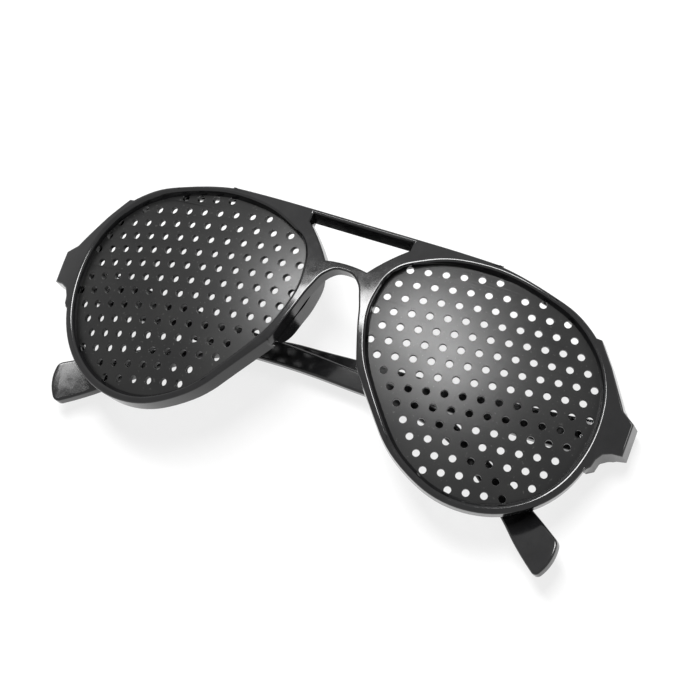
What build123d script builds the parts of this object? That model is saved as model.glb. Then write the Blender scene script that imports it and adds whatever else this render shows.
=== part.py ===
from build123d import *
from math import atan2, cos, degrees, hypot, radians, sin
import os

# Pinhole glasses, folded. Millimetres. The front is drawn in its own frame: x to the
# viewer's right, y up to the brow, z out of the front face. It lies on its folded temples.

# Lens openings, measured on the front edge of the rims, and the front round them
lens_width = 59.2
lens_height = 53.4
bridge_gap = 16.2
end_reach = 5.0
brow_rise = 1.2
front_radius = 101.7
front_rise = 4.7
front_depth = 4.5
dome_centre_x = 16.2

# Rims
rim_side = 1.25
rim_nose = 3.0
bevel_width = 1.2
bevel_depth = 1.8

# Perforated lens plates
plate_thickness = 1.2
groove_depth = 0.8
groove_clearance = 0.12
hole_start_right = (-23.2, 20.4)
hole_start_left = (-18.35, 17.9)
hole_diameter = 1.9
hole_pitch = 4.162
row_step_share = 0.84
hole_edge = 0.7
hole_sides = 5
right_rows_turn = 10.3
left_rows_turn = 8.3

# Flat facets that stand for the plates' curve: rings as shares of the lens's width
facet_reach_shares = [0.12, 0.35, 0.625]
facet_sides = 12

# Brow bar, window and bridge
brow_bar = 1.0
brow_reach_share = 0.9
brow_low_share = 0.717
bridge_reach_share = 0.4
window_apex_share = 0.609
window_draft = 18.0

# Nose pads moulded behind the rims
pad_depth = 6.3
pad_thickness = 1.7
pad_top_share = 0.523
pad_foot_share = -0.158

# End pieces and hinges
end_block_depth = 6.33
end_block_length = 6.7
end_block_height = 13.4
hinge_inset = 4.5
hinge_setback = 6.83
left_lean = 1.5
right_lean = 1.0
barrel_radius = 1.3
barrel_height = 2.05
barrel_gap = 0.12
notch_clearance = 0.35
screw_radius = 0.7
screw_head_radius = 1.15
screw_head_height = 0.6
fixed_bore_clearance = 0.02
running_bore_clearance = 0.05
leaf_thickness = 0.8
tang_thickness = 1.0
tang_depth = 2.6
temple_leaf_length = 6.4
seat_clearance = 0.05

# Temples
temple_length = 134.5
temple_thickness = 3.4
temple_inner_offset = 0.5
temple_end_overhang = 0.35
temple_bend_start = 85.0
temple_bend_rise = 6.3
temple_drop = 33.5
temple_butt = 4.2
tip_top_radius = 2.2
tip_low_radius = 1.4
left_fold_past = 1.5
right_fold_short = 2.3

overrun = 20.0

lens_centre_x = (bridge_gap + lens_width) / 2
front_half = lens_centre_x + lens_width / 2 + end_reach
brow_height = lens_height / 2 + brow_rise
dome_centre_depth = front_radius - front_rise
end_fall = dome_centre_depth - (front_radius ** 2 - (front_half - dome_centre_x) ** 2) ** 0.5
lens_radius = hypot(lens_centre_x - dome_centre_x, dome_centre_depth)
wrap = degrees(atan2(lens_centre_x - dome_centre_x, dome_centre_depth))
rear_radius = front_radius - front_depth
plate_front_radius = front_radius - bevel_depth
hinge_height = 3 * barrel_height + 2 * barrel_gap
notch_radius = barrel_radius + notch_clearance

# Outline of a lens opening, as shares of its width and height from its centre,
# for the right lens: positive is the temple side
lens_outline_shares = [
    (0.500, -0.030), (0.456, 0.222), (0.310, 0.389), (0.112, 0.465), (-0.101, 0.498), (-0.336, 0.456),
    (-0.468, 0.366), (-0.500, 0.225), (-0.455, -0.005), (-0.331, -0.212), (-0.166, -0.406), (0.068, -0.502),
    (0.363, -0.384),
]

# Upper and lower edges of an end piece, as shares of half the front's width and of the brow height
end_top_shares = [(0.830, 0.695), (0.885, 0.509), (0.941, 0.287), (0.961, 0.204), (1.0, 0.136)]
end_low_shares = [(1.0, -0.143), (0.968, -0.158), (0.945, -0.190), (0.931, -0.251), (0.921, -0.358)]

# Front edge of the nose arch, one half, as shares of the lens centre's x and of the brow height
arch_shares = [(0.0, 0.548), (0.053, 0.538), (0.106, 0.484), (0.159, 0.341), (0.212, 0.118), (0.292, -0.197)]

# Side of the window, from its foot up, in the same shares
window_shares = [(0.138, 0.591), (0.212, 0.717), (0.334, 0.882)]

# Nose face of a pad, in the same shares
pad_shares = [(0.150, 0.530), (0.167, 0.341), (0.188, 0.197), (0.215, 0.090), (0.268, -0.160)]

# Side view of a pad, as shares of its height from the foot and of its reach behind the front
pad_side_shares = [(1.0, 0.0), (0.917, 0.72), (0.5, 1.0), (0.083, 0.72), (0.0, 0.0)]

# Side view of a temple: upper edge from the hinge, lower edge back from the tip, as shares
# of the temple's length and of the tip's drop below the hinge line
temple_upper_shares = [
    (0.089, 0.087), (0.223, 0.045), (0.506, 0.0), (0.654, -0.045), (0.729, -0.119), (0.788, -0.245),
    (0.877, -0.433), (0.937, -0.567), (0.996, -0.710),
]
temple_tip_shares = [(0.996, -0.710), (0.995, -0.866), (0.978, -0.985)]
temple_lower_shares = [
    (0.978, -0.985), (0.926, -0.830), (0.882, -0.672), (0.833, -0.515), (0.781, -0.372), (0.729, -0.260),
    (0.669, -0.191), (0.506, -0.143), (0.223, -0.155), (0.097, -0.152),
]


def points(shares, width, height, x=0.0, y=0.0):
    """Points of an outline from shares of a width and a height."""
    return [(x + u * width, y + v * height) for u, v in shares]


def smooth_curve(pts, closed=False):
    """Arcs through the points of an outline, two to each stretch, each tangent to the next."""
    spots = [Vector(*p) for p in pts]
    before = spots[-1:] + spots[:-1]
    after = spots[1:] + spots[:1]
    headings = []
    for a, b, c in zip(before, spots, after):
        turn = (b - a) / (b - a).dot(b - a) + (c - b) / (c - b).dot(c - b)
        headings.append(turn.normalized())
    if not closed:
        for end, inner in ((0, 1), (-1, -2)):
            chord = (spots[end] - spots[inner]).normalized()
            headings[end] = chord * (2 * headings[inner].dot(chord)) - headings[inner]
    stretches = list(zip(spots, after, headings, headings[1:] + headings[:1]))
    if not closed:
        stretches.pop()
    edges = []
    for start, finish, leave, arrive in stretches:
        chord = finish - start
        lean = chord.dot(leave + arrive)
        spread = 2 * (1 - leave.dot(arrive))
        reach = chord.dot(chord) / (lean + (lean * lean + spread * chord.dot(chord)) ** 0.5)
        joint = (start + finish + (leave - arrive) * reach) / 2
        edges.append(TangentArc(start, joint, tangent=leave))
        edges.append(TangentArc(finish, joint, tangent=-arrive))
    return edges


def mirrored(pts):
    """The same points on the other side of the middle."""
    return [(-x, y) for x, y in pts]


def dome(radius):
    """The stretched dome that the front follows: two balls joined by a tube along x."""
    ball = Rotation(90, 0, 0) * Sphere(radius)
    tube = Rotation(0, 90, 0) * Cylinder(radius, 2 * dome_centre_x)
    balls = Pos(dome_centre_x, 0, 0) * ball + Pos(-dome_centre_x, 0, 0) * ball
    return Pos(0, 0, -dome_centre_depth) * (tube + balls)


def lens_plane(side):
    """Frame of a lens: its z is the lens's own normal."""
    turn = radians(side * wrap)
    centre = (side * lens_centre_x, 0, 0)
    return Plane(origin=centre, x_dir=(cos(turn), 0, -sin(turn)), z_dir=(sin(turn), 0, cos(turn)))


def lens_face(side, grow_side, grow_nose):
    """Outline of a lens, grown or shrunk, in the lens's frame."""
    width = lens_width + grow_side + grow_nose
    height = lens_height + 2 * grow_side
    shift = (grow_side - grow_nose) / 2
    pts = points(lens_outline_shares, width, height, shift)
    if side < 0:
        pts = mirrored(pts)
    return make_face(smooth_curve(pts, closed=True))


def prism(side, face, low, high):
    """A face of a lens's frame pushed through the front, along the lens's own normal."""
    plane = lens_plane(side)
    return extrude(plane.offset(low) * face, amount=high - low, dir=plane.z_dir)


def faceted_dome(radius):
    """Solid under a dome of flat facets about the lens's centre of curvature, in its frame."""
    angles = [radians(360 * corner / facet_sides) for corner in range(facet_sides + 1)]
    rings = []
    for share in facet_reach_shares:
        reach = share * lens_width
        height = (radius * radius - reach * reach) ** 0.5 - lens_radius
        rings.append([Vector(reach * cos(angle), reach * sin(angle), height) for angle in angles])
    rings.append([Vector(corner.X, corner.Y, -overrun) for corner in rings[-1]])
    facets = [make_face(Polyline(*rings[0])).face(), make_face(Polyline(*rings[-1])).face()]
    for upper, lower in zip(rings, rings[1:]):
        for corner in range(facet_sides):
            corners = [upper[corner], upper[corner + 1], lower[corner + 1], lower[corner]]
            facets.append(make_face(Polyline(*corners, close=True)).face())
    return Solid(Shell(facets))


def plate_layer(slack):
    """The faceted layer that a plate lies in, grown by a slack on both faces."""
    front = plate_front_radius + slack
    rear = plate_front_radius - plate_thickness - slack
    return faceted_dome(front) - faceted_dome(rear)


def lens_opening(side):
    """Opening through a rim, with the bevel that leads down to the plate."""
    level = front_radius - lens_radius - lens_height * lens_height / (8 * front_radius)
    plane = lens_plane(side)
    top_face = plane.offset(level + bevel_depth) * lens_face(side, bevel_width, bevel_width)
    low_face = plane.offset(level - bevel_depth) * lens_face(side, -bevel_width, -bevel_width)
    bevel = loft([top_face.face(), low_face.face()], ruled=True)
    through = prism(side, lens_face(side, -bevel_width, -bevel_width), -overrun, overrun)
    return bevel + through


def lens_groove(side):
    """Groove round the opening that holds the edge of the plate."""
    edge = groove_depth - bevel_width
    layer = lens_plane(side).location * plate_layer(groove_clearance)
    return prism(side, lens_face(side, edge, edge), -overrun, overrun) & layer


def hole_places(side):
    """Centres of the pinholes in staggered rows, in the lens's frame."""
    reach = -bevel_width - hole_edge
    field = lens_face(side, reach, reach).face()
    turn = radians(right_rows_turn if side > 0 else left_rows_turn)
    start_x, start_y = hole_start_right if side > 0 else hole_start_left
    row_step = hole_pitch * row_step_share
    columns = round(lens_width / hole_pitch)
    rows = round(lens_height / row_step)
    places = []
    for row in range(-rows, rows):
        for column in range(-columns, columns):
            along = (column + (row % 2) / 2) * hole_pitch
            down = row * row_step
            x = start_x + along * cos(turn) + down * sin(turn)
            y = start_y + along * sin(turn) - down * cos(turn)
            if field.is_inside(Vector(x, y, 0)):
                places.append((x, y))
    return places


def lens_plate(side):
    """Curved plate with its staggered pinholes."""
    edge = groove_depth - groove_clearance - bevel_width
    hole = RegularPolygon(hole_diameter / 2, hole_sides)
    sheet = lens_face(side, edge, edge) - [Pos(x, y, 0) * hole for x, y in hole_places(side)]
    block = Pos(0, 0, -lens_width / 4) * extrude(sheet, amount=lens_width / 2)
    return lens_plane(side).location * (block & plate_layer(0))


def end_piece_sketch(side):
    """Front view of an end piece, reaching into its rim."""
    top = points(end_top_shares, front_half, brow_height)
    low = points(end_low_shares, front_half, brow_height)
    inner = lens_centre_x + lens_width / 4
    corners = [(inner, top[0][1])] + top + low + [(inner, low[-1][1])]
    if side < 0:
        corners = mirrored(corners)
    return make_face(Polyline(*corners, close=True))


def nose_arch():
    """Line of the arch over the nose, from foot to foot."""
    half = points(arch_shares, lens_centre_x, brow_height)
    return mirrored(half[:0:-1]) + half


def nose_cut():
    """Gap under the arch, cut through the nose sides of the rims."""
    arch = nose_arch()
    face = make_face(smooth_curve(arch) + [Line(arch[-1], arch[0])])
    return extrude(face, amount=overrun / 2, both=True)


def bridge_sketch():
    """Front view of the brow bar and bridge, between the two openings."""
    arch = nose_arch()
    foot = arch[-1]
    inner = lens_centre_x - lens_width * bridge_reach_share
    outer = lens_centre_x * brow_reach_share
    low = brow_height * brow_low_share
    corners = [foot, (inner, foot[1]), (inner, low), (outer, low), (outer, brow_height)]
    corners += mirrored(corners[::-1])
    return make_face(smooth_curve(arch) + Polyline(*corners).edges())


def window_cut():
    """Window between the brow bar and the bridge; its upper wall slopes back to the rear."""
    side_pts = points(window_shares, lens_centre_x, brow_height)
    foot = side_pts[0]
    shoulder = side_pts[-1]
    corner = (shoulder[0], brow_height)
    apex = (0, brow_height * window_apex_share)
    outline = [ThreePointArc(*side_pts), ThreePointArc(*mirrored(side_pts))]
    outline += [ThreePointArc(*mirrored([foot]), apex, foot)]
    outline += Polyline(shoulder, corner, *mirrored([corner, shoulder])).edges()
    block = extrude(make_face(outline), amount=overrun / 2, both=True)
    window_top = brow_height - brow_bar
    face_z = (front_radius * front_radius - window_top * window_top) ** 0.5 - dome_centre_depth
    roof = Pos(0, window_top, face_z) * Rotation(-window_draft, 0, 0) * Pos(0, overrun / 2, 0)
    return block - roof * Box(4 * overrun, overrun, 4 * overrun)


def nose_pad(side):
    """Pad moulded behind the nose side of a rim."""
    face_line = points(pad_shares, lens_centre_x, brow_height)
    outer_line = [(x + pad_thickness, y) for x, y in face_line]
    ends = [Line(face_line[-1], outer_line[-1]), Line(outer_line[0], face_line[0])]
    plan = make_face(smooth_curve(face_line) + smooth_curve(outer_line) + ends)
    rear = rear_radius - dome_centre_depth - pad_depth
    foot = pad_foot_share * brow_height
    height = pad_top_share * brow_height - foot
    side_pts = points(pad_side_shares, height, rear, foot)
    side_view = make_face(smooth_curve(side_pts) + [Line(side_pts[-1], side_pts[0])])
    body = extrude(plan, amount=overrun, dir=(0, 0, -1)) & extrude(Plane.YZ * side_view, amount=overrun)
    if side < 0:
        body = mirror(body, about=Plane.YZ)
    return body


def hinge_cylinder(radius, height):
    """A rod on the hinge line."""
    return Rotation(90, 0, 0) * Cylinder(radius, height)


def barrel_middle(number):
    """Height of a barrel's middle on the hinge line, counted from the lowest."""
    return -hinge_height / 2 + barrel_height / 2 + number * (barrel_height + barrel_gap)


def hinge_front_leaf():
    """Two barrels on a tang that is moulded into the end piece, in the hinge's frame."""
    tang = Pos(0, 0, notch_radius + tang_depth / 2) * Box(tang_thickness, hinge_height, tang_depth)
    for number in (0, 2):
        height = barrel_middle(number)
        web = Pos(0, height, notch_radius / 2) * Box(tang_thickness, barrel_height, notch_radius)
        tang += web + Pos(0, height, 0) * hinge_cylinder(barrel_radius, barrel_height)
    return tang - hinge_cylinder(screw_radius + fixed_bore_clearance, 2 * hinge_height)


def hinge_temple_leaf():
    """One barrel on a plate let into the temple's inner face, open, in the hinge's frame."""
    start = notch_radius + seat_clearance
    plate_x = temple_inner_offset + leaf_thickness / 2
    plate = Box(leaf_thickness, hinge_height, temple_leaf_length)
    leaf = Pos(plate_x, 0, -start - temple_leaf_length / 2) * plate
    leaf += Pos(plate_x, 0, -start / 2) * Box(leaf_thickness, barrel_height, start)
    leaf += hinge_cylinder(barrel_radius, barrel_height)
    return leaf - hinge_cylinder(screw_radius + running_bore_clearance, 2 * hinge_height)


def hinge_screw():
    """Screw on the hinge line, its head above the top barrel."""
    head = hinge_cylinder(screw_head_radius, screw_head_height)
    head_middle = (hinge_height + screw_head_height) / 2
    return hinge_cylinder(screw_radius, hinge_height) + Pos(0, head_middle, 0) * head


def temple():
    """Open right temple in the hinge's frame: side view and plan view pushed through each other."""
    side_plane = Plane(origin=(0, 0, 0), x_dir=(0, 0, -1), z_dir=(1, 0, 0))
    start = -temple_end_overhang
    upper = [(start, temple_butt)] + points(temple_upper_shares, temple_length, temple_drop)
    tip = points(temple_tip_shares, temple_length, temple_drop)
    lower = points(temple_lower_shares, temple_length, temple_drop) + [(start, -temple_butt)]
    ends = [ThreePointArc(*tip), Line(lower[-1], upper[0])]
    outline = make_face(smooth_curve(upper) + smooth_curve(lower) + ends)
    top_corner = outline.vertices().sort_by_distance(Vector(*tip[0]))[0]
    outline = fillet(top_corner, tip_top_radius)
    low_corner = outline.vertices().sort_by_distance(Vector(*tip[-1]))[0]
    outline = fillet(low_corner, tip_low_radius)
    slab = extrude(side_plane.offset(-overrun) * outline, amount=2 * overrun, dir=side_plane.z_dir)
    plan_plane = Plane(origin=(0, 0, 0), x_dir=(0, 0, -1), z_dir=(0, -1, 0))
    bend_length = temple_length - temple_bend_start
    inner = temple_inner_offset
    outer = temple_inner_offset + temple_thickness
    bend_radius = (bend_length * bend_length / temple_bend_rise + temple_bend_rise) / 2
    turn = degrees((bend_length + overrun) / bend_radius)
    centre = (temple_bend_start, inner - bend_radius)
    inner_arc = CenterArc(centre, bend_radius, 90 - turn, turn)
    outer_arc = CenterArc(centre, bend_radius + temple_thickness, 90 - turn, turn)
    straight_inner = Line((start, inner), (temple_bend_start, inner))
    straight_outer = Line((start, outer), (temple_bend_start, outer))
    ends = Line((start, inner), (start, outer)) + Line(inner_arc @ 0, outer_arc @ 0)
    plan = make_face(inner_arc + outer_arc + straight_inner + straight_outer + ends)
    strip = extrude(plan_plane.offset(-2 * overrun) * plan, amount=4 * overrun, dir=plan_plane.z_dir)
    body = slab & strip
    body -= hinge_cylinder(notch_radius, overrun)
    pocket_length = temple_leaf_length + 2 * seat_clearance
    pocket = Box(leaf_thickness + seat_clearance, hinge_height + 2 * seat_clearance, pocket_length)
    pocket_x = temple_inner_offset + (leaf_thickness + seat_clearance) / 2
    body -= Pos(pocket_x, 0, -notch_radius - pocket_length / 2) * pocket
    web = Box(2 * leaf_thickness, barrel_height + 2 * seat_clearance, 2 * notch_radius)
    body -= Pos(temple_inner_offset + seat_clearance, 0, -notch_radius) * web
    return body


def hinge_location(side):
    """Place and lean of a hinge line."""
    lean = left_lean if side < 0 else right_lean
    place = Pos(side * (front_half - hinge_inset), 0, -end_fall - hinge_setback)
    return place * Rotation(0, 0, -lean)


def at_hinge(side, shape):
    """A right-hand hinge shape put at either hinge."""
    if side < 0:
        shape = mirror(shape, about=Plane.YZ)
    return hinge_location(side) * shape


def end_block(side):
    """Block behind the rim's temple end that carries the hinge."""
    middle = side * (front_half - end_block_length / 2)
    outer = Pos(middle, 0, 0) * Rectangle(end_block_length, end_block_height)
    rear = end_fall + end_block_depth
    return Pos(0, 0, -rear) * extrude(end_piece_sketch(side) & outer, amount=rear)


def front_frame():
    """One moulding: rims, brow bar, bridge, end pieces and nose pads."""
    body = Pos(0, 0, -overrun) * extrude(bridge_sketch(), amount=2 * overrun)
    for side in (-1, 1):
        body += Pos(0, 0, -overrun) * extrude(end_piece_sketch(side), amount=2 * overrun)
        body += prism(side, lens_face(side, rim_side, rim_nose), -overrun, overrun)
    body = (body & dome(front_radius)) - dome(rear_radius) - nose_cut()
    for side in (-1, 1):
        body += end_block(side) & dome(front_radius)
        body += nose_pad(side)
    body -= window_cut()
    for side in (-1, 1):
        body -= lens_opening(side)
        body -= lens_groove(side)
        slot_depth = tang_depth + notch_radius / 2 + seat_clearance
        slot_width = tang_thickness + 2 * seat_clearance
        slot = Box(slot_width, hinge_height + 2 * seat_clearance, slot_depth)
        body -= at_hinge(side, Pos(0, 0, notch_radius / 2 + slot_depth / 2) * slot)
        body -= at_hinge(side, hinge_cylinder(notch_radius, overrun))
    return body


def folded_on(side, shape):
    """A right temple's shape, folded behind the front on either side."""
    fold = 90 + left_fold_past if side < 0 else 90 - right_fold_short
    return at_hinge(side, Rotation(0, fold, 0) * shape)


nodes = {"front_frame": front_frame()}
right_temple = temple()
for side, name in ((-1, "left"), (1, "right")):
    nodes["lens_" + name] = lens_plate(side)
    nodes["temple_" + name] = folded_on(side, right_temple)
    nodes["hinge_front_leaf_" + name] = at_hinge(side, hinge_front_leaf())
    nodes["hinge_temple_leaf_" + name] = folded_on(side, hinge_temple_leaf())
    nodes["hinge_screw_" + name] = at_hinge(side, hinge_screw())

# The folded glasses lie on the outer face of the right temple, the origin under their middle
settle = hinge_location(1) * Rotation(0, right_fold_short, 0) * hinge_location(1).inverse()
settled = {name: settle * shape for name, shape in nodes.items()}
box = settled["front_frame"].bounding_box()
for shape in settled.values():
    box = box.add(shape.bounding_box())
lift = Pos(-(box.min.X + box.max.X) / 2, -(box.min.Y + box.max.Y) / 2, -box.min.Z)
os.makedirs("parts", exist_ok=True)
for name, shape in settled.items():
    export_step(lift * shape, "parts/" + name + ".step")

print("size", box.size)
for side, name in ((-1, "left"), (1, "right")):
    hinge = lift * settle * hinge_location(side)
    axis = Plane(hinge).y_dir * -side
    print("hinge", name, "at", hinge.position, "opens about", axis)
print("front frame lies at", (lift * settle).position, (lift * settle).orientation)
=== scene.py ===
from math import atan2, cos, hypot, pi, radians, sin, sqrt

import bmesh
import bpy
from mathutils import Matrix, Vector
from mathutils.bvhtree import BVHTree


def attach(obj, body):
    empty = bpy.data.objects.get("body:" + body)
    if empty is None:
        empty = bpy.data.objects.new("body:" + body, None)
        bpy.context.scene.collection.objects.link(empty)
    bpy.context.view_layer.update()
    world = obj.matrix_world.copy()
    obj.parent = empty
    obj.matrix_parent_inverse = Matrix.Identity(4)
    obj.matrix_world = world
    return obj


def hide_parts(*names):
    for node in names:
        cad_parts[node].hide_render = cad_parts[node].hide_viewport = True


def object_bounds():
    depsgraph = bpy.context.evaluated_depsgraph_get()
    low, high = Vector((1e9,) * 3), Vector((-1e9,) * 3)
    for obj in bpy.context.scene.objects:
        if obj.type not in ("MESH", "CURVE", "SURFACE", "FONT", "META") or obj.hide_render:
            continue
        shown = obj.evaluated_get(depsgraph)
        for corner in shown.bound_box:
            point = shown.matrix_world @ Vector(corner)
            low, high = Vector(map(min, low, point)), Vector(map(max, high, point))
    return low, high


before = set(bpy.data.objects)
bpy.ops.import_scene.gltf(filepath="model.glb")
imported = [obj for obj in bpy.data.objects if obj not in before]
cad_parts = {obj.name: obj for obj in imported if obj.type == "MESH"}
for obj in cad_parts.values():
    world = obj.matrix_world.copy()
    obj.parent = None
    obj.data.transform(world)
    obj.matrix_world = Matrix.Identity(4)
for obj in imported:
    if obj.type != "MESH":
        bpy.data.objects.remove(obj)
cad_low, cad_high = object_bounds()

# Sizes of the glasses, as in the part, in metres
MM = 0.001
LENS_WIDTH = 59.2 * MM
LENS_HEIGHT = 53.4 * MM
LENS_CENTRE_X = 37.7 * MM
FRONT_RADIUS = 101.7 * MM
DOME_CENTRE_X = 16.2 * MM
DOME_CENTRE_DEPTH = 97.0 * MM
BEVEL_WIDTH = 1.2 * MM
BEVEL_DEPTH = 1.8 * MM
PLATE_THICKNESS = 1.2 * MM
GROOVE_DEPTH = 0.8 * MM
GROOVE_CLEARANCE = 0.12 * MM
LENS_OUTLINE_SHARES = [
    (0.500, -0.030), (0.456, 0.222), (0.310, 0.389), (0.112, 0.465), (-0.101, 0.498), (-0.336, 0.456),
    (-0.468, 0.366), (-0.500, 0.225), (-0.455, -0.005), (-0.331, -0.212), (-0.166, -0.406), (0.068, -0.502),
    (0.363, -0.384),
]
LENS_RADIUS = hypot(LENS_CENTRE_X - DOME_CENTRE_X, DOME_CENTRE_DEPTH)
WRAP = atan2(LENS_CENTRE_X - DOME_CENTRE_X, DOME_CENTRE_DEPTH)

# Pinholes: as wide as they look in the photograph, on the part's pitch
HOLE_DIAMETER = 1.76 * MM
HOLE_PITCH = 4.162 * MM
HOLE_SIDES = 20
HOLE_TEST_STEP = 4
HOLE_REACH = 0.35 * MM
WHOLE_HOLE_MARGIN = 0.15 * MM
ROW_STEP_SHARE = 0.84
ROWS_EACH_WAY = 16
HOLE_START = {1: (-23.2 * MM, 20.4 * MM), -1: (-18.35 * MM, 17.9 * MM)}
ROWS_TURN = {1: radians(10.3), -1: radians(8.3)}

# Eased edges and the smooth shading of the faces between them
OUTLINE_STEPS = 12
ROUGH_STEPS = 4
PLATE_EASING = 0.09 * MM
FRONT_EASING = 0.5 * MM
FRONT_EASED_ANGLE = radians(38)
FRONT_EASING_STEPS = 5
TEMPLE_EASING = 0.6 * MM
TEMPLE_EASED_ANGLE = radians(40)
TEMPLE_EASING_STEPS = 4
SPIKE_SHARE = 0.45
PLATE_MERGE = 0.001 * MM
SOLID_MERGE = 0.002 * MM
EASED_MERGE = 0.004 * MM
SLIVER = 0.02 * MM
SAME_FACE_LIKENESS = 0.64
PLATE_DOME_SLACK = 0.004 * MM
FRONT_DOME_SLACK = 0.05 * MM
FRONT_DOME_LIKENESS = 0.9975

# The front's eased edges all lie near its face, and above this height of the front's own frame
FACE_DEPTH = 1.4 * MM
FACE_LOWEST = -12.6 * MM

# Slopes that take the steps off the end pieces' underside, in the front's own frame
RIM_EDGE_START = 64.7 * MM
RIM_EDGE_Y = -9.99 * MM
RIM_EDGE_SLACK = 0.06 * MM
RIM_EDGE_OUT = 65.95 * MM
RIM_EDGE_DEPTH = 9.0 * MM
RIM_EDGE_LEAN = 0.155
BLOCK_START = 65.5 * MM
BLOCK_END = 68.4 * MM
BLOCK_LOW = -7.1 * MM
BLOCK_HIGH = -5.2 * MM
BLOCK_DEPTH = -16.0 * MM
SLOPE_Y = -5.3 * MM
SLOPE_END = 68.32 * MM
SLOPE_LEAN = 0.25

# How the front lies on its folded temples: the way that it faces, and its middle in the model's frame
UP = Vector((0.0, 0.0, 1.0))
FRONT_FACING = Vector((0.040126, -0.000701, 0.999194))
FRONT_MIDDLE = Vector((0.615461, 4.01335, 25.6079)) * MM
LYING = Matrix.LocRotScale(FRONT_MIDDLE, UP.rotation_difference(FRONT_FACING), None)
UPRIGHT = LYING.inverted()

# The photograph's camera, in the front's own frame, with its film and lens in millimetres
CAMERA_PLACE = Vector((228.97, -134.71, 693.40)) * MM
CAMERA_RIGHT = Vector((0.9119, 0.3425, -0.2261))
CAMERA_UP = Vector((-0.2801, 0.9221, 0.2671))
CAMERA_BACK = Vector((0.3000, -0.1802, 0.9368))
CAMERA_FILM = 36.0
CAMERA_LENS = 166.75
CAMERA_NEAR = 0.05
CAMERA_FAR = 20.0

# Room: the floor lights the glasses by its shade, and is seen by its tone and glow
FLOOR_RADIUS = 3.0
FLOOR_SIDES = 96
FLOOR_DROP = 0.0002
FLOOR_GLOW = 0.78
FLOOR_SHADE = (0.4, 0.4, 0.4, 1.0)
FLOOR_TONE = (0.85, 0.85, 0.85, 1.0)
ROOM_FILL = 0.3
LAMP_AIM = Vector((0.0, 0.0, 0.02))
WHITE = (1.0, 1.0, 1.0, 1.0)

SIDES = {"left": -1, "right": 1}


class Value:
    """A socket that can be used in sums."""

    def __init__(self, nodes, socket):
        self.nodes = nodes
        self.socket = socket

    def sum_with(self, operation, *others):
        """A Math node on this value and others."""
        inputs = dict(enumerate((self, *others)))
        return self.nodes.node("ShaderNodeMath", {"operation": operation}, inputs)

    def __add__(self, other):
        return self.sum_with("ADD", other)

    def __mul__(self, other):
        return self.sum_with("MULTIPLY", other)

    __radd__ = __add__
    __rmul__ = __mul__


class Nodes:
    """The nodes of a material or of the world."""

    def __init__(self, tree):
        self.tree = tree

    def set(self, target, value):
        if isinstance(value, Value):
            self.tree.links.new(value.socket, target)
        else:
            target.default_value = value

    def node(self, kind, settings=None, inputs=None, output=0):
        """A node of a type, with its settings first and then its sockets."""
        node = self.tree.nodes.new(kind)
        for key, value in (settings or {}).items():
            setattr(node, key, value)
        for key, value in (inputs or {}).items():
            self.set(node.inputs[key], value)
        return Value(self, node.outputs[output]) if node.outputs else None

    def noise(self, scale, detail, roughness, place=None):
        place = place or self.node("ShaderNodeTexCoord", output="Object")
        inputs = {"Vector": place, "Scale": scale, "Detail": detail, "Roughness": roughness}
        return self.node("ShaderNodeTexNoise", {}, inputs)

    def ramp(self, value, low, high):
        """0 below low, 1 above high."""
        inputs = {"Value": value, "From Min": low, "From Max": high}
        return self.node("ShaderNodeMapRange", {"clamp": True}, inputs)

    def blend(self, factor, first, second):
        """A colour between two others."""
        inputs = {"Factor": factor, 6: first, 7: second}
        return self.node("ShaderNodeMix", {"data_type": "RGBA"}, inputs, output=2)

    def bump(self, height, distance, strength):
        inputs = {"Height": height, "Distance": distance, "Strength": strength}
        return self.node("ShaderNodeBump", {}, inputs)

    def sight(self):
        """1 for the rays by which the camera, a gloss or glass sees a thing, 0 for those that light it."""
        camera = self.node("ShaderNodeLightPath", output="Is Camera Ray")
        gloss = self.node("ShaderNodeLightPath", output="Is Glossy Ray")
        glass = self.node("ShaderNodeLightPath", output="Is Transmission Ray")
        return camera.sum_with("MAXIMUM", gloss).sum_with("MAXIMUM", glass)


class Finish(Nodes):
    """A material of the glasses."""

    def __init__(self, name):
        self.material = bpy.data.materials.new(name)
        self.material.use_nodes = True
        super().__init__(self.material.node_tree)

    def dress(self, **sockets):
        """The material, with its shader's sockets set."""
        shader = self.tree.nodes["Principled BSDF"]
        for name, value in sockets.items():
            self.set(shader.inputs[name.replace("_", " ")], value)
        return self.material


def empty_nodes(owner):
    """The emptied nodes of a material or of the world."""
    owner.use_nodes = True
    owner.node_tree.nodes.clear()
    return Nodes(owner.node_tree)


def polished_plastic():
    """Black injection moulding: polished, with the faint waviness and haze of handling."""
    f = Finish("polished_black_plastic")
    clean_black = (0.0032, 0.0032, 0.0035, 1.0)
    hazy_black = (0.0058, 0.0058, 0.0062, 1.0)
    waviness = f.noise(scale=120.0, detail=2.0, roughness=0.4)
    haze = f.ramp(f.noise(scale=310.0, detail=4.0, roughness=0.6), low=0.35, high=0.75)
    specks = f.ramp(f.noise(scale=2600.0, detail=2.0, roughness=0.6), low=0.66, high=0.74)
    return f.dress(
        Base_Color=f.blend(haze, clean_black, hazy_black),
        Roughness=haze * 0.07 + specks * 0.08 + 0.085,
        Normal=f.bump(waviness + specks * 0.04, distance=0.06 * MM, strength=0.5),
        IOR=1.41,
        Specular_IOR_Level=0.5,
    )


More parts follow.
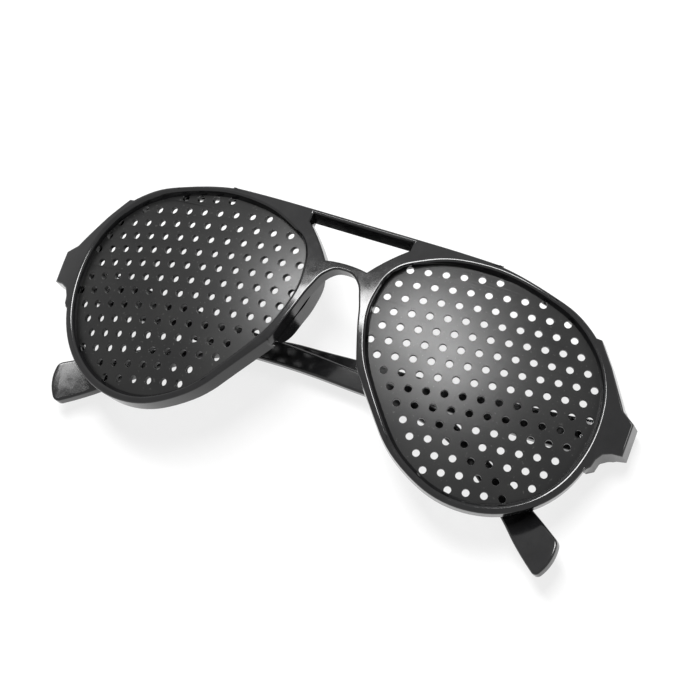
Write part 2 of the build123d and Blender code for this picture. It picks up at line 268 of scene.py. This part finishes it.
def satin_sheet():
    """Black perforated sheet with a satin face and a little dust."""
    f = Finish("satin_black_sheet")
    cool_black = (0.0036, 0.0036, 0.0038, 1.0)
    warm_black = (0.0060, 0.0060, 0.0058, 1.0)
    dust_grey = (0.05, 0.05, 0.048, 1.0)
    grain = f.noise(scale=3800.0, detail=2.0, roughness=0.7)
    cloud = f.ramp(f.noise(scale=90.0, detail=3.0, roughness=0.55), low=0.3, high=0.7)
    dust = f.ramp(f.noise(scale=1500.0, detail=1.0, roughness=0.5), low=0.70, high=0.76)
    return f.dress(
        Base_Color=f.blend(dust * 0.5, f.blend(cloud, cool_black, warm_black), dust_grey),
        Roughness=cloud * 0.05 + grain * 0.06 + 0.30,
        Normal=f.bump(grain, distance=0.03 * MM, strength=0.35),
        IOR=1.36,
    )


def hinge_steel():
    """Small steel leaves and screws, turned and rubbed."""
    f = Finish("hinge_steel")
    bright_steel = (0.42, 0.42, 0.43, 1.0)
    stained_steel = (0.24, 0.235, 0.23, 1.0)
    place = f.node("ShaderNodeTexCoord", output="Object")
    stretched = f.node("ShaderNodeMapping", {}, {"Vector": place, "Scale": (900.0, 9000.0, 900.0)})
    turning = f.noise(scale=1.0, detail=2.0, roughness=0.6, place=stretched)
    stain = f.ramp(f.noise(scale=700.0, detail=3.0, roughness=0.6), low=0.4, high=0.7)
    return f.dress(
        Base_Color=f.blend(stain, bright_steel, stained_steel),
        Metallic=1.0,
        Roughness=turning * 0.2 + stain * 0.12 + 0.2,
        Normal=f.bump(turning, distance=0.02 * MM, strength=0.4),
    )


def smooth_points(shares, width, height, steps):
    """A closed smooth line through an outline given in shares, at even steps of each stretch."""
    spots = [Vector((u * width, v * height)) for u, v in shares]
    headings = []
    for i, spot in enumerate(spots):
        back = spot - spots[i - 1]
        on = spots[(i + 1) % len(spots)] - spot
        headings.append((back / back.length_squared + on / on.length_squared).normalized())
    line = []
    for i, spot in enumerate(spots):
        following = (i + 1) % len(spots)
        finish = spots[following]
        reach = (finish - spot).length
        leave = headings[i] * reach
        arrive = headings[following] * reach
        for step in range(steps):
            t = step / steps
            line.append(
                spot * (2 * t ** 3 - 3 * t ** 2 + 1) + leave * (t ** 3 - 2 * t ** 2 + t)
                + finish * (3 * t ** 2 - 2 * t ** 3) + arrive * (t ** 3 - t ** 2)
            )
    return line


def lens_matrix(side):
    """Frame of a lens in the model's frame."""
    wrapped = Matrix.Rotation(side * WRAP, 4, "Y")
    return LYING @ Matrix.Translation((side * LENS_CENTRE_X, 0.0, 0.0)) @ wrapped


def lens_line(side, grow, steps):
    """Outline of a lens opening, grown or shrunk, in the lens's frame."""
    line = smooth_points(LENS_OUTLINE_SHARES, LENS_WIDTH + 2 * grow, LENS_HEIGHT + 2 * grow, steps)
    return [Vector((side * point.x, point.y)) for point in line]


def inside(point, line):
    """Whether a point lies in a closed line."""
    within = False
    for a, b in zip(line, line[1:] + line[:1]):
        if (a.y > point.y) != (b.y > point.y):
            if point.x < (b.x - a.x) * (point.y - a.y) / (b.y - a.y) + a.x:
                within = not within
    return within


def pinholes(side, line):
    """Centres of the staggered pinholes inside a line."""
    turn = ROWS_TURN[side]
    start = Vector(HOLE_START[side])
    along = Vector((cos(turn), sin(turn))) * HOLE_PITCH
    down = Vector((sin(turn), -cos(turn))) * HOLE_PITCH * ROW_STEP_SHARE
    places = []
    for row in range(-ROWS_EACH_WAY, ROWS_EACH_WAY + 1):
        for column in range(-ROWS_EACH_WAY, ROWS_EACH_WAY):
            spot = start + along * (column + (row % 2) / 2) + down * row
            if inside(spot, line):
                places.append(spot)
    return places


def add_ring(curve, points):
    """A closed line of a flat curve."""
    ring = curve.splines.new("POLY")
    ring.points.add(len(points) - 1)
    for target, point in zip(ring.points, points):
        target.co = (point.x, point.y, 0.0, 1.0)
    ring.use_cyclic_u = True


def take_mesh(curve, name):
    """The mesh of a flat curve, at the origin."""
    holder = bpy.data.objects.new(name, curve)
    bpy.context.scene.collection.objects.link(holder)
    mesh = bpy.data.meshes.new_from_object(holder.evaluated_get(bpy.context.evaluated_depsgraph_get()))
    bpy.data.objects.remove(holder)
    return mesh


def show(mesh, name, body, material, node):
    """A finished piece on its body, in place of a node."""
    piece = bpy.data.objects.new(name, mesh)
    bpy.context.scene.collection.objects.link(piece)
    piece.data.materials.clear()
    piece.data.materials.append(material)
    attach(piece, body)
    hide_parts(node)


class Dome:
    """The faces of a piece that lie on spheres round a centre, or round a line of centres.

    ray gives a point's direction and distance from the centre, and radii are the spheres' own. slack is how
    far off a sphere a corner may lie, and likeness how close a face's own normal comes to the sphere's.
    """

    def __init__(self, ray, radii, slack, likeness):
        self.ray = ray
        self.radii = radii
        self.slack = slack
        self.likeness = likeness

    def normals(self, mesh, face):
        """Normals of the sphere at a face's corners, or None for a face that isn't on it."""
        rays = [self.ray(mesh.vertices[corner].co) for corner in face.vertices]
        middle = sum(rays, Vector()).normalized()
        near = any(all(abs(ray.length - radius) < self.slack for ray in rays) for radius in self.radii)
        if not near or abs(face.normal.dot(middle)) < self.likeness:
            return None
        inner_limit = sum(self.radii) / len(self.radii) if len(self.radii) > 1 else 0.0
        return [ray.normalized() * (1 if ray.length > inner_limit else -1) for ray in rays]


def plate_dome(side):
    """The inner and outer face of a plate."""
    centre = lens_matrix(side) @ Vector((0.0, 0.0, -LENS_RADIUS))
    outer = FRONT_RADIUS - BEVEL_DEPTH
    faces = (outer - PLATE_THICKNESS, outer)
    return Dome(lambda spot: spot - centre, faces, slack=PLATE_DOME_SLACK, likeness=0.0)


def front_dome():
    """The face of the front, whose centres lie on a line."""

    def ray(spot):
        own = UPRIGHT @ spot
        along = max(-DOME_CENTRE_X, min(DOME_CENTRE_X, own.x))
        return LYING.to_3x3() @ (own - Vector((along, 0.0, -DOME_CENTRE_DEPTH)))

    return Dome(ray, (FRONT_RADIUS,), slack=FRONT_DOME_SLACK, likeness=FRONT_DOME_LIKENESS)


def face_outward(mesh, dome):
    """Shade a mesh by the areas round each corner, and its domed faces by the dome's own centre."""
    around = [[] for _ in mesh.vertices]
    for face in mesh.polygons:
        for corner in face.vertices:
            around[corner].append(face)
    normals = []
    for face in mesh.polygons:
        domed = dome.normals(mesh, face) if dome else None
        if domed:
            normals.extend(domed)
            continue
        for corner in face.vertices:
            near = [other for other in around[corner] if other.normal.dot(face.normal) > SAME_FACE_LIKENESS]
            normals.append(sum((other.normal * other.area for other in near), Vector()).normalized())
    mesh.shade_smooth()
    mesh.normals_split_custom_set(normals)


def lens_plate(side, node):
    """Domed plate with round pinholes, cut flat and then raised onto its dome."""
    edge = GROOVE_DEPTH - GROOVE_CLEARANCE - BEVEL_WIDTH
    curve = bpy.data.curves.new(node, "CURVE")
    curve.dimensions = "2D"
    curve.fill_mode = "BOTH"
    curve.extrude = PLATE_THICKNESS / 2 - PLATE_EASING
    curve.bevel_depth = PLATE_EASING
    curve.bevel_resolution = 1
    curve.offset = -PLATE_EASING
    add_ring(curve, lens_line(side, edge, OUTLINE_STEPS))
    turns = [2 * pi * i / HOLE_SIDES for i in range(HOLE_SIDES)]
    whole_holes = lens_line(side, edge - WHOLE_HOLE_MARGIN, ROUGH_STEPS)
    for spot in pinholes(side, lens_line(side, HOLE_REACH - BEVEL_WIDTH, OUTLINE_STEPS)):
        ring = [spot + Vector((cos(turn), sin(turn))) * HOLE_DIAMETER / 2 for turn in turns]
        if all(inside(point, whole_holes) for point in ring[::HOLE_TEST_STEP]):
            add_ring(curve, ring)
    mesh = take_mesh(curve, node)
    middle = FRONT_RADIUS - BEVEL_DEPTH - PLATE_THICKNESS / 2
    bm = bmesh.new()
    bm.from_mesh(mesh)
    bmesh.ops.remove_doubles(bm, verts=bm.verts, dist=PLATE_MERGE)
    for v in bm.verts:
        v.co.z = sqrt((middle + v.co.z) ** 2 - v.co.x ** 2 - v.co.y ** 2) - LENS_RADIUS
    bmesh.ops.transform(bm, matrix=lens_matrix(side), verts=bm.verts)
    bmesh.ops.recalc_face_normals(bm, faces=bm.faces)
    bm.to_mesh(mesh)
    bm.free()
    face_outward(mesh, plate_dome(side))
    show(mesh, node + "_plate", "root", sheet, node)


def smooth_end_pieces(bm):
    """Take the steps off the end pieces' underside, where the solid's rim, end piece and block meet."""
    for v in bm.verts:
        spot = UPRIGHT @ v.co
        out = abs(spot.x)
        side = 1 if spot.x > 0 else -1
        if out > RIM_EDGE_START and abs(spot.y - RIM_EDGE_Y) < RIM_EDGE_SLACK:
            out = min(out, RIM_EDGE_OUT + (spot.z + RIM_EDGE_DEPTH) * RIM_EDGE_LEAN)
        elif BLOCK_START < out < BLOCK_END and BLOCK_LOW < spot.y < BLOCK_HIGH and spot.z < BLOCK_DEPTH:
            spot.y = SLOPE_Y + (SLOPE_END - out) * SLOPE_LEAN
        v.co = LYING @ Vector((side * out, spot.y, spot.z))
    bmesh.ops.remove_doubles(bm, verts=bm.verts, dist=SLIVER)


def near_face(spot):
    """Whether a place in the front's own frame is near its face."""
    along = max(abs(spot.x) - DOME_CENTRE_X, 0.0)
    depth = sqrt((FRONT_RADIUS - FACE_DEPTH) ** 2 - along ** 2 - spot.y ** 2) - DOME_CENTRE_DEPTH
    return spot.z > FACE_LOWEST and spot.z > depth


def sharp_edges(bm, angle):
    """Edges of a closed mesh that turn by more than an angle."""
    return [edge for edge in bm.edges if len(edge.link_faces) == 2 and edge.calc_face_angle(0.0) > angle]


def ease(bm, edges, width, steps):
    """Round edges, and pull what the rounding throws off the solid back to it."""
    solid = BVHTree.FromBMesh(bm)
    bmesh.ops.bevel(
        bm, geom=edges, offset=width, segments=steps, profile=0.5, affect="EDGES", clamp_overlap=False,
        material=-1,
    )
    for v in bm.verts:
        nearest, _, _, gap = solid.find_nearest(v.co)
        if gap > SPIKE_SHARE * width:
            v.co = nearest
    bmesh.ops.remove_doubles(bm, verts=bm.verts, dist=EASED_MERGE)
    bmesh.ops.recalc_face_normals(bm, faces=bm.faces)


def merged_copy(node):
    """A solid's mesh, copied, and a bmesh of it with its loose triangles joined."""
    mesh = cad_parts[node].data.copy()
    bm = bmesh.new()
    bm.from_mesh(mesh)
    bmesh.ops.remove_doubles(bm, verts=bm.verts, dist=SOLID_MERGE)
    return mesh, bm


def front_moulding():
    """The front with the edges of its face and openings rounded."""
    mesh, bm = merged_copy("front_frame")
    smooth_end_pieces(bm)
    bmesh.ops.dissolve_degenerate(bm, dist=SLIVER, edges=bm.edges)
    bm.normal_update()
    edges = sharp_edges(bm, FRONT_EASED_ANGLE)
    edges = [edge for edge in edges if near_face(UPRIGHT @ ((edge.verts[0].co + edge.verts[1].co) / 2))]
    ease(bm, edges, FRONT_EASING, FRONT_EASING_STEPS)
    bm.to_mesh(mesh)
    bm.free()
    face_outward(mesh, front_dome())
    show(mesh, "front_moulding", "root", plastic, "front_frame")


def temple_moulding(name):
    """A temple with all its edges rounded."""
    mesh, bm = merged_copy("temple_" + name)
    bmesh.ops.dissolve_degenerate(bm, dist=SLIVER, edges=bm.edges)
    bm.normal_update()
    ease(bm, sharp_edges(bm, TEMPLE_EASED_ANGLE), TEMPLE_EASING, TEMPLE_EASING_STEPS)
    bm.to_mesh(mesh)
    bm.free()
    face_outward(mesh, None)
    show(mesh, name + "_temple_moulding", name + "_temple", plastic, "temple_" + name)


def hinge_finish(name):
    """Steel on the leaves and the screw of a hinge."""
    for node in ("hinge_front_leaf_", "hinge_temple_leaf_", "hinge_screw_"):
        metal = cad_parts[node + name]
        metal.data.materials.clear()
        metal.data.materials.append(steel)


def backdrop():
    """A floor that the camera and the gloss see as white paper, with the object's soft shadow."""
    bm = bmesh.new()
    bmesh.ops.create_circle(bm, cap_ends=True, segments=FLOOR_SIDES, radius=FLOOR_RADIUS)
    bmesh.ops.translate(bm, verts=bm.verts, vec=(0.0, 0.0, cad_low[2] - FLOOR_DROP))
    mesh = bpy.data.meshes.new("floor")
    bm.to_mesh(mesh)
    bm.free()
    floor = bpy.data.objects.new("floor", mesh)
    bpy.context.scene.collection.objects.link(floor)
    paper = bpy.data.materials.new("white_paper")
    f = empty_nodes(paper)
    seen = f.sight()
    tone = f.blend(seen, FLOOR_SHADE, FLOOR_TONE)
    matt = f.node("ShaderNodeBsdfDiffuse", {}, {"Color": tone})
    glow = f.node("ShaderNodeEmission", {}, {"Color": WHITE, "Strength": 1.0})
    mixed = f.node("ShaderNodeMixShader", {}, {0: seen * FLOOR_GLOW, 1: matt, 2: glow})
    f.node("ShaderNodeOutputMaterial", {}, {"Surface": mixed})
    floor.data.materials.append(paper)


def studio():
    """White surroundings for the camera and the gloss, and a plain fill of light for the rest."""
    world = bpy.data.worlds.new("studio")
    bpy.context.scene.world = world
    f = empty_nodes(world)
    fill = f.node("ShaderNodeBackground", {}, {"Color": WHITE, "Strength": ROOM_FILL})
    white = f.node("ShaderNodeBackground", {}, {"Color": WHITE, "Strength": 1.0})
    mixed = f.node("ShaderNodeMixShader", {}, {0: f.sight(), 1: fill, 2: white})
    f.node("ShaderNodeOutputWorld", {}, {"Surface": mixed})


def lamp(name, direction, distance, width, height, power, turn=0.0):
    """A soft box that looks at the glasses from a direction, turned about its own axis."""
    light = bpy.data.lights.new(name, "AREA")
    light.shape = "RECTANGLE"
    light.size = width
    light.size_y = height
    light.energy = power
    holder = bpy.data.objects.new(name, light)
    bpy.context.scene.collection.objects.link(holder)
    away = Vector(direction).normalized()
    holder.location = away * distance + LAMP_AIM
    facing = away.to_track_quat("Z", "Y").to_matrix() @ Matrix.Rotation(turn, 3, "Z")
    holder.rotation_euler = facing.to_euler()


def photograph_camera():
    """The camera, placed as in the photograph against the front's own frame."""
    camera = bpy.data.cameras.new("camera")
    camera.sensor_width = CAMERA_FILM
    camera.lens = CAMERA_LENS
    camera.clip_start = CAMERA_NEAR
    camera.clip_end = CAMERA_FAR
    holder = bpy.data.objects.new("camera", camera)
    bpy.context.scene.collection.objects.link(holder)
    own = Matrix((CAMERA_RIGHT, CAMERA_UP, CAMERA_BACK)).transposed().to_4x4()
    own.translation = CAMERA_PLACE
    holder.matrix_world = LYING @ own
    bpy.context.scene.camera = holder


plastic = polished_plastic()
sheet = satin_sheet()
steel = hinge_steel()

front_moulding()
for name, side in SIDES.items():
    lens_plate(side, "lens_" + name)
    temple_moulding(name)
    hinge_finish(name)

backdrop()
studio()
photograph_camera()
lamp(
    "soft_box_above", (-0.02, 0.30, 0.95), distance=0.9, width=0.5, height=0.26, power=15.0,
    turn=radians(-35),
)
lamp("ceiling", (-0.3, 0.5, 0.82), distance=1.5, width=1.5, height=1.1, power=2.0)
lamp("strip_right", (0.93, 0.31, 0.16), distance=1.2, width=0.5, height=0.3, power=4.0)
bpy.context.scene.view_settings.view_transform = "Standard"
